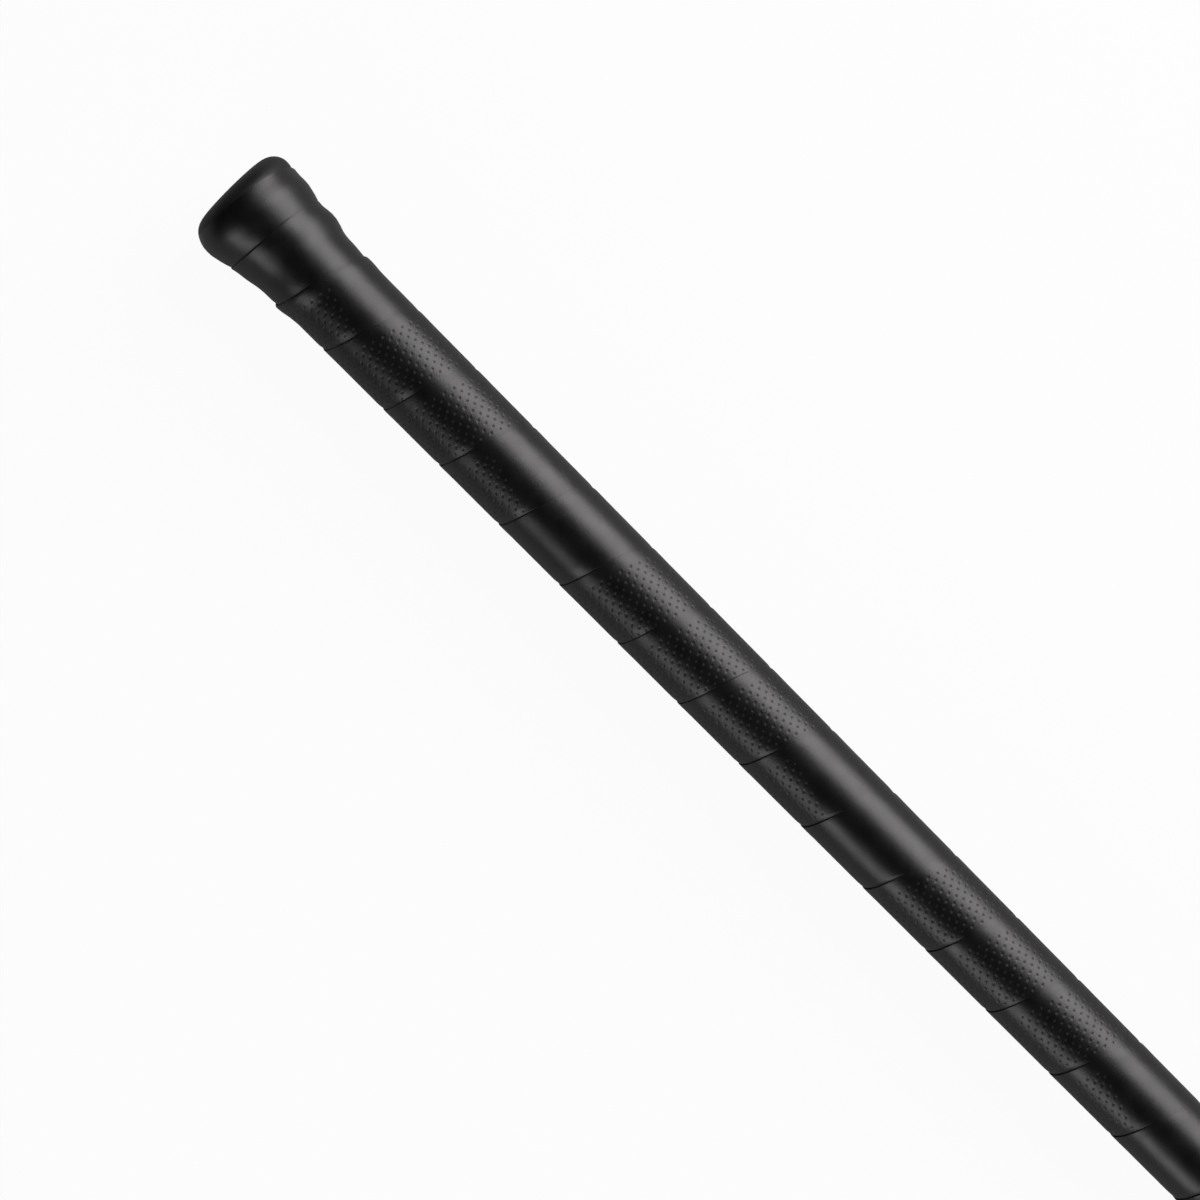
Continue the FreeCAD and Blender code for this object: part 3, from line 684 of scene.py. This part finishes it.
def tidy_mesh():
    """Closes seams and poles, turns the faces outwards and leaves edit mode."""
    bpy.ops.object.mode_set(mode="EDIT")
    bpy.ops.mesh.select_all(action="SELECT")
    bpy.ops.mesh.remove_doubles(threshold=MERGE_DISTANCE)
    bpy.ops.mesh.normals_make_consistent(inside=False)
    bpy.ops.object.mode_set(mode="OBJECT")


def modified(piece, kind, **values):
    """Gives the active piece a modifier, sets its values and applies it."""
    bpy.ops.object.modifier_add(type=kind)
    modifier = piece.modifiers[-1]
    for name, value in values.items():
        setattr(modifier, name, value)
    bpy.ops.object.modifier_apply(modifier=modifier.name)


def finished(piece, node, finish, smooth_angle=SMOOTH_ANGLE):
    """Smooths a piece, gives it its finish and lets it stand for its CAD node."""
    bpy.ops.object.shade_smooth_by_angle(angle=smooth_angle)
    piece.data.materials.clear()
    piece.data.materials.append(finish.material)
    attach(piece, "root")
    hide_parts(node)


def tape_finish():
    """Cushioned grip: a fine leathery face, duller in the pits, with painted shade darkening the pits' colour."""
    finish = Finish("grip_tape", settings().colours.tape, 0.42, {"IOR": 1.45, "Specular IOR Level": 0.7})
    strip = finish.strip_place()
    grain = finish.noise(strip, scale=4200.0, detail=2.0)
    mottle = finish.noise(strip, scale=160.0, detail=4.0)
    sunk = finish.node("ShaderNodeAttribute", {"attribute_name": SUNK_NOTE}, None, "Fac")
    # The mottle varies the tape's tone at random, and painted shade darkens the colour as a point sinks into a pit.
    finish.tint(finish.spread(mottle, NOISE_SPAN, 0.75, 1.25) * (1 - PIT_PAINTED_SHADE * sunk), 0.0, 1.0)
    finish.feed("Roughness", finish.spread(mottle, NOISE_SPAN, 0.32, 0.39) + PIT_DULLNESS * sunk)
    finish.bump(grain, depth=0.00004)
    return finish


def cap_finish():
    """Moulded rubber with a fine spark-eroded skin."""
    finish = Finish("cap_rubber", settings().colours.cap, 0.5, {"IOR": 1.5})
    place = finish.object_place()
    skin = finish.noise(place, scale=3000.0, detail=2.0)
    cloud = finish.noise(place, scale=90.0, detail=3.0)
    finish.feed("Roughness", finish.spread(cloud, NOISE_SPAN, 0.44, 0.56))
    finish.bump(skin, depth=0.00003)
    return finish


def shaft_finish():
    """Lacquered composite: crossed fibres under a clear coat."""
    finish = Finish("shaft_composite", settings().colours.shaft, 0.3,
                    {"IOR": 1.5, "Coat Weight": 0.6, "Coat Roughness": 0.16})
    place = finish.object_place()
    along, side, up = finish.each_of("ShaderNodeSeparateXYZ", "XYZ", {"Vector": place})
    around = finish.maths("ARCTAN2", up, side)
    right = finish.maths("SINE", along * WEAVE_ALONG + around * WEAVE_AROUND)
    left = finish.maths("SINE", along * WEAVE_ALONG - around * WEAVE_AROUND)
    weave = finish.spread(right * left, WEAVE_SPAN, 0.0, 1.0)
    fibre = finish.noise(finish.stretched(place, (60.0, 900.0, 900.0)), scale=3.0, detail=3.0)
    finish.tint(weave * WEAVE_SHARE + fibre * (1 - WEAVE_SHARE), 0.75, 1.35)
    finish.feed("Roughness", finish.spread(weave + fibre * 0.5, (0.0, 1.5), 0.26, 0.38))
    return finish


def band_finish():
    """Stretched vinyl tape: fine lines along its pull."""
    finish = Finish("finishing_tape", settings().colours.band, 0.36, {"IOR": 1.5})
    strip = finish.strip_place()
    lines = finish.noise(finish.stretched(strip, (40.0, 2600.0, 1.0)), scale=1.0, detail=4.0)
    cloud = finish.noise(finish.stretched(strip, (120.0, 120.0, 1.0)), scale=1.0, detail=3.0)
    finish.tint(cloud, 0.8, 1.2)
    finish.feed("Roughness", finish.spread(lines + cloud * 0.5, (0.4, 1.1), 0.30, 0.44))
    finish.bump(lines, depth=0.00003)
    return finish


def blade_finish():
    """Moulded plastic: an eggshell skin, a little duller in patches."""
    finish = Finish("blade_plastic", settings().colours.blade, 0.45, {"IOR": 1.49})
    place = finish.object_place()
    skin = finish.noise(place, scale=1500.0, detail=3.0)
    cloud = finish.noise(place, scale=45.0, detail=4.0)
    finish.tint(finish.spread(cloud, NOISE_SPAN, 0.0, 1.0), 0.85, 1.15)
    finish.feed("Roughness", finish.spread(cloud, NOISE_SPAN, 0.40, 0.52))
    finish.bump(skin, depth=0.00005)
    return finish


def screw_finish():
    """Zinc-plated steel with a finely clouded face."""
    finish = Finish("screw_steel", settings().colours.screw, 0.3, {"Metallic": 1.0})
    place = finish.object_place()
    cloud = finish.noise(place, scale=900.0, detail=4.0)
    finish.tint(cloud, 0.8, 1.15)
    finish.feed("Roughness", finish.spread(cloud, NOISE_SPAN, 0.24, 0.40))
    finish.bump(finish.noise(place, scale=5000.0, detail=2.0), depth=0.00001)
    return finish


class STICK_OT_turn_shaft(bpy.types.Operator):
    """Turn the tapered tube of the shaft"""
    bl_idname = "stick.turn_shaft"
    bl_label = "Turn shaft"

    def execute(self, context):
        outside = shaft_outline()
        inside = [(station, radius - settings().shaft.wall) for station, radius in reversed(outside)]
        piece = turned("shaft_tube", outside + inside + outside[:1])
        finished(piece, "shaft", shaft_finish())
        return {"FINISHED"}


class STICK_OT_mould_cap(bpy.types.Operator):
    """Turn the flared end cap with its plug"""
    bl_idname = "stick.mould_cap"
    bl_label = "Mould end cap"

    def execute(self, context):
        sizes = settings().cap
        shaft = settings().shaft
        outline = cap_outline()
        face = outline[0][1]
        skirt_end = outline[-1][0]
        core_floor = cap_high.x - sizes.core_depth
        dome = [(sizes.dome * share ** 2, face * share) for share in np.linspace(0.0, 1.0, DOME_POINTS)]
        outline = dome[:-1] + outline
        outline += [(skirt_end, float(shaft_radius(skirt_end))), (shaft_low.x, shaft.butt_radius),
                    (shaft_low.x, float(shaft_radius(shaft_low.x)) - shaft.wall),
                    (cap_high.x, float(shaft_radius(cap_high.x)) - shaft.wall),
                    (cap_high.x, sizes.core_radius), (core_floor, sizes.core_radius), (core_floor, 0.0)]
        finished(turned("end_cap_moulding", outline), "end_cap", cap_finish())
        return {"FINISHED"}


class STICK_OT_wind_grip(bpy.types.Operator):
    """Press the pits into a flat strip of grip tape and wind it onto the cap and the shaft"""
    bl_idname = "stick.wind_grip"
    bl_label = "Wind grip tape"

    def execute(self, context):
        piece = self.flat_strip()
        self.press_pits(piece.data)
        self.close_back(piece.data)
        self.note_strip(piece.data)
        set_points(piece.data, wound(points_of(piece.data)))
        tidy_mesh()
        finished(piece, "grip_tape", tape_finish())
        return {"FINISHED"}

    def row_places(self):
        """Places of the strip's rows across it: the rounded edge, the smooth lip, the pits and the tail."""
        sizes = settings().tape
        lip = [share * sizes.lip_round for share in LIP_SHARES]
        pits = [sizes.pit_row * (PLAIN_ROWS + row) for row in range(PIT_ROWS + 1)]
        tail = (pits[-1] + sizes.width) / 2
        return np.array(lip + pits + [tail, sizes.width])

    def flat_strip(self):
        """A grid with a column for each half pitch of the pits."""
        strip_length = wound_lengths()[1][-1]
        columns = int(strip_length / (settings().tape.pit_pitch / 2))
        rows = self.row_places()
        piece, shares = grid("grip_tape_winding", columns, len(rows) - 1)
        flat = points_of(piece.data)
        flat[:, 0] = shares[:, 0] * strip_length
        flat[:, 1] = rows[np.rint(shares[:, 1] * (len(rows) - 1)).astype(int)]
        set_points(piece.data, flat)
        return piece

    def press_pits(self, mesh):
        """Staggered round pits in the faces of the pitted stretches that the next turn leaves bare."""
        sizes = settings().tape
        centres = np.array([face.center for face in mesh.polygons])
        column = np.floor(centres[:, 0] / (sizes.pit_pitch / 2)).astype(int)
        row = np.floor(centres[:, 1] / sizes.pit_row).astype(int) - PLAIN_ROWS
        turns, lengths = wound_lengths()
        turn = np.interp(centres[:, 0], lengths, turns)
        _, run, width = laid(centres[:, 0], centres[:, 1])
        pitted = np.any([(turn > first) & (turn < last) for first, last in PITTED_TURNS], axis=0)
        pitted &= (row >= 0) & (row < PIT_ROWS) & ((row + column) % 2 == 0)
        pitted &= run + sizes.pit_radius < width
        select_only(mesh, "FACE", pitted)
        bpy.ops.mesh.subdivide(number_cuts=1)
        bpy.ops.object.mode_set(mode="OBJECT")
        # A cut face has a new vertex within a micron of its centre, which the bevel opens into a pit.
        wanted = {tuple(key) for key in np.rint(centres[pitted, :2] * MICRONS).astype(int)}
        keys = np.rint(points_of(mesh)[:, :2] * MICRONS).astype(int)
        middles = [any((key[0] + dx, key[1] + dy) in wanted for dx in (-1, 0, 1) for dy in (-1, 0, 1))
                   for key in keys]
        select_only(mesh, "VERT", middles)
        bpy.ops.mesh.bevel(offset=sizes.pit_radius, affect="VERTICES", segments=PIT_SEGMENTS,
                           profile=PIT_ROUND_PROFILE)
        bpy.ops.mesh.select_mode(type="FACE")
        bpy.ops.mesh.inset(thickness=sizes.pit_slope, depth=-sizes.pit_depth)
        bpy.ops.object.mode_set(mode="OBJECT")

    def close_back(self, mesh):
        """A plain back from the leading edge to the tail, and the two cut ends."""
        faces_on = np.zeros(len(mesh.edges), int)
        edge_of = {edge.key: edge.index for edge in mesh.edges}
        for face in mesh.polygons:
            for key in face.edge_keys:
                faces_on[edge_of[key]] += 1
        across = points_of(mesh)[ends_of(mesh), 1]
        long_sides = (faces_on == 1) & (np.ptp(across, axis=1) < MERGE_DISTANCE)
        before = len(mesh.vertices)
        select_only(mesh, "EDGE", long_sides)
        bpy.ops.mesh.bridge_edge_loops(number_cuts=BACK_CUTS)
        bpy.ops.object.mode_set(mode="OBJECT")
        flat = points_of(mesh)
        flat[before:, 2] = -settings().tape.thickness
        set_points(mesh, flat)
        bpy.ops.object.mode_set(mode="EDIT")
        bpy.ops.mesh.select_mode(type="EDGE")
        bpy.ops.mesh.select_all(action="DESELECT")
        bpy.ops.mesh.select_non_manifold(extend=False)
        bpy.ops.mesh.fill_holes(sides=0)
        bpy.ops.object.mode_set(mode="OBJECT")

    def note_strip(self, mesh):
        """Keeps the flat places, and as an attribute how far a point is sunk into a pit."""
        flat = points_of(mesh)
        keep_strip(mesh, flat[:, :2])
        sunk = mesh.attributes.new(SUNK_NOTE, "FLOAT", "POINT")
        sunk.data.foreach_set("value", between(-flat[:, 2], 0.0, settings().tape.pit_depth))


class STICK_OT_wrap_finishing_tape(bpy.types.Operator):
    """Wrap the stretch tape over the end of the winding"""
    bl_idname = "stick.wrap_finishing_tape"
    bl_label = "Wrap finishing tape"

    def execute(self, context):
        sizes = settings().band
        piece, shares = grid("finishing_tape_wrap", BAND_COLUMNS, BAND_ROWS)
        turn = shares[:, 0] * sizes.turns
        station = band_low.x + shares[:, 1] * (band_high.x - band_low.x)
        under = np.interp(station, (sizes.step_start, sizes.step_end), (sizes.rise, sizes.shaft_gap))
        radius = shaft_radius(station) + under + sizes.layer * eased(between(turn, *BAND_LAP_TURNS))
        middle = (sizes.step_start + sizes.step_end) / 2
        crease = np.exp(-((station - middle) / BAND_CREASE_REACH) ** 2)
        radius += sizes.wrinkle * crease * np.sin(FULL_TURN * (BAND_CREASES * turn + BAND_CREASE_LEAN * station)) ** 2
        set_points(piece.data, about_shaft(station, radius, turn + BAND_START_TURN))
        keep_strip(piece.data, np.column_stack((turn * FULL_TURN * radius, station)))
        modified(piece, "SOLIDIFY", thickness=sizes.layer, offset=0.0)
        tidy_mesh()
        finished(piece, "finishing_tape", band_finish())
        return {"FINISHED"}


class STICK_OT_mould_blade(bpy.types.Operator):
    """Round the blade's edges as its mould does"""
    bl_idname = "stick.mould_blade"
    bl_label = "Mould blade"

    def execute(self, context):
        sizes = settings().blade
        piece = bpy.data.objects.new("blade_moulding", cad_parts["blade"].data.copy())
        context.scene.collection.objects.link(piece)
        pick(piece)
        tidy_mesh()
        select_only(piece.data, "EDGE", self.sharp_edges(piece.data))
        bpy.ops.mesh.bevel(offset=sizes.rounding, affect="EDGES", segments=BLADE_SEGMENTS)
        bpy.ops.object.mode_set(mode="OBJECT")
        finished(piece, "blade", blade_finish(), BLADE_SMOOTH_ANGLE)
        modified(piece, "WEIGHTED_NORMAL", keep_sharp=True)
        return {"FINISHED"}

    def sharp_edges(self, mesh):
        """Joins the flat facets, and marks the sharp edges that lie off the hosel."""
        sizes = settings().blade
        bpy.ops.object.mode_set(mode="EDIT")
        bpy.ops.mesh.dissolve_limited(angle_limit=sizes.flat_angle)
        bpy.ops.mesh.select_mode(type="EDGE")
        bpy.ops.mesh.select_all(action="DESELECT")
        bpy.ops.mesh.edges_select_sharp(sharpness=sizes.sharp_angle)
        bpy.ops.object.mode_set(mode="OBJECT")
        sharp = np.array([edge.select for edge in mesh.edges])
        places = points_of(mesh)[ends_of(mesh)]
        off_hosel = places[:, :, 1].max(axis=1) < blade_high.y - sizes.hosel_width
        return sharp & off_hosel & (places[:, :, 0].min(axis=1) > sizes.hosel_end)


class STICK_OT_fit_screws(bpy.types.Operator):
    """Turn the two blade screws, cut their recesses and put them in"""
    bl_idname = "stick.fit_screws"
    bl_label = "Fit blade screws"

    def execute(self, context):
        finish = screw_finish()
        first = self.make_screw()
        shape = points_of(first.data)
        bpy.ops.object.duplicate()
        for piece, node, name, facing in ((first, "blade_screw_backhand", "backhand_screw", 1),
                                          (context.object, "blade_screw_forehand", "forehand_screw", -1)):
            low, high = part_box(node)
            set_points(piece.data, np.column_stack(((low.x + high.x) / 2 + shape[:, 1], facing * shape[:, 2],
                                                    facing * (shape[:, 0] + settings().screw.seat))))
            piece.name = name
            pick(piece)
            finished(piece, node, finish, SCREW_SMOOTH_ANGLE)
        return {"FINISHED"}

    def make_screw(self):
        """A pan-head screw along the turning axis, its seat at the origin."""
        sizes = settings().screw
        top = sizes.head_height
        crown = arc((top - sizes.crown, sizes.head_radius - sizes.crown), sizes.crown, QUARTER_TURN, 0.0, CROWN_STEPS)
        outline = [(-sizes.screw_length, 0.0), (sizes.tip - sizes.screw_length, sizes.shank_radius),
                   (0.0, sizes.shank_radius), (0.0, sizes.head_radius)] + crown + [(top, 0.0)]
        piece = turned("screw", outline, SCREW_STEPS)
        cutter = self.make_cross(top)
        pick(piece)
        modified(piece, "BOOLEAN", operation="DIFFERENCE", solver="EXACT", object=cutter)
        bpy.data.objects.remove(cutter)
        modified(piece, "BEVEL", width=sizes.edge, segments=SCREW_SEGMENTS, limit_method="ANGLE")
        return piece

    def make_cross(self, station):
        """A cross-shaped block to cut the recess with, its middle at a station of the turning axis."""
        sizes = settings().screw
        deselect()
        bpy.ops.mesh.primitive_cube_add(size=1.0, location=(station, 0.0, 0.0),
                                        scale=(2 * sizes.recess_depth, sizes.recess_width, sizes.recess_width))
        bpy.ops.object.transform_apply(location=True, rotation=True, scale=True)
        cutter = bpy.context.object
        sides = [abs(face.normal.x) < 0.5 for face in cutter.data.polygons]
        select_only(cutter.data, "FACE", sides)
        arm = (sizes.recess_span - sizes.recess_width) / 2
        bpy.ops.mesh.extrude_faces_move(TRANSFORM_OT_shrink_fatten={"value": arm})
        bpy.ops.object.mode_set(mode="OBJECT")
        return cutter


class STICK_OT_set_stage(bpy.types.Operator):
    """Lay the floor and set the lamps and the camera"""
    bl_idname = "stick.set_stage"
    bl_label = "Set stage"

    def execute(self, context):
        self.lay_floor()
        self.set_sky()
        for lamp in LAMPS:
            self.add_lamp(*lamp)
        self.set_camera()
        context.scene.view_settings.view_transform = "Standard"
        return {"FINISHED"}

    def lay_floor(self):
        """A pale floor that the camera sees as nearly white and that keeps the stick's shadow."""
        stage = settings().stage
        colours = settings().colours
        deselect()
        bpy.ops.mesh.primitive_plane_add(size=FLOOR_SIZE, location=(cad_high.x / 2, 0.0, cad_low.z))
        floor = bpy.context.object
        floor.name = "floor"
        finish = Finish("studio_floor", colours.floor, 0.9)
        glow = finish.node("ShaderNodeEmission", None, {"Color": WHITE, "Strength": 1.0})
        seen, mirrored, through = finish.each_of("ShaderNodeLightPath",
                                                 ("Is Camera Ray", "Is Glossy Ray", "Is Transmission Ray"))
        finish.feed("Base Color", finish.blend(seen, (*colours.floor_bounce, 1.0), (*colours.floor, 1.0)))
        shade = Value(finish, finish.shader.outputs[0])
        white = seen * stage.floor_glow + mirrored * stage.mirrored_glow + through * stage.floor_glow
        mixed = finish.node("ShaderNodeMixShader", None, {0: white, 1: shade, 2: glow})
        finish.put(finish.tree.nodes["Material Output"].inputs["Surface"], mixed)
        floor.data.materials.append(finish.material)

    def set_sky(self):
        """Plain white surroundings."""
        world = bpy.data.worlds.new("studio")
        bpy.context.scene.world = world
        world.use_nodes = True
        sky = world.node_tree.nodes["Background"]
        sky.inputs["Color"].default_value = WHITE
        sky.inputs["Strength"].default_value = settings().stage.sky

    def add_lamp(self, name, station, lean, size, power_setting):
        """A softbox aimed at a station of the stick."""
        lamp = bpy.data.lights.new(name, "AREA")
        lamp.shape = "RECTANGLE"
        lamp.size, lamp.size_y = size
        lamp.energy = getattr(settings().stage, power_setting)
        lamp.color = LAMP_TINT
        holder = bpy.data.objects.new(name, lamp)
        bpy.context.scene.collection.objects.link(holder)
        along, across = (math.radians(degrees) for degrees in lean)
        way = Vector((math.sin(along), math.cos(along) * math.sin(across), math.cos(along) * math.cos(across)))
        holder.location = Vector((station, 0.0, 0.0)) + LAMP_DISTANCE * way
        holder.rotation_euler = way.to_track_quat("Z", "Y").to_euler()
        holder.visible_camera = False

    def set_camera(self):
        """A long lens straight above the grip, turned so that the stick lies across the picture."""
        stage = settings().stage
        lens = bpy.data.cameras.new("camera")
        lens.lens = stage.lens
        lens.clip_start, lens.clip_end = CAMERA_CLIP
        camera = bpy.data.objects.new("camera", lens)
        bpy.context.scene.collection.objects.link(camera)
        distance = stage.view_width * stage.lens / lens.sensor_width
        camera.location = (stage.aim_x, stage.aim_y, distance)
        camera.rotation_euler = (0.0, 0.0, stage.roll)
        bpy.context.scene.camera = camera


STEPS = (STICK_OT_turn_shaft, STICK_OT_mould_cap, STICK_OT_wind_grip, STICK_OT_wrap_finishing_tape,
         STICK_OT_mould_blade, STICK_OT_fit_screws, STICK_OT_set_stage)


class STICK_PT_panel(bpy.types.Panel):
    """Steps that build the stick"""
    bl_label = "Floorball stick"
    bl_idname = "STICK_PT_panel"
    bl_space_type = "VIEW_3D"
    bl_region_type = "UI"
    bl_category = "Stick"

    def draw(self, context):
        for step in STEPS:
            self.layout.operator(step.bl_idname)


CLASSES = (ShaftSizes, CapSizes, TapeSizes, BandSizes, BladeSizes, ScrewSizes, StickColours, StageSettings,
           StickSettings, *STEPS, STICK_PT_panel)


def register():
    """Makes the settings, the steps and the panel known."""
    for item in CLASSES:
        bpy.utils.register_class(item)
    bpy.types.Scene.stick = PointerProperty(type=StickSettings)


def unregister():
    """Takes them out again."""
    del bpy.types.Scene.stick
    for item in reversed(CLASSES):
        bpy.utils.unregister_class(item)


def main():
    """Builds the stick and its stage."""
    register()
    bpy.ops.stick.turn_shaft()
    bpy.ops.stick.mould_cap()
    bpy.ops.stick.wind_grip()
    bpy.ops.stick.wrap_finishing_tape()
    bpy.ops.stick.mould_blade()
    bpy.ops.stick.fit_screws()
    bpy.ops.stick.set_stage()


if __name__ == "__main__":
    main()
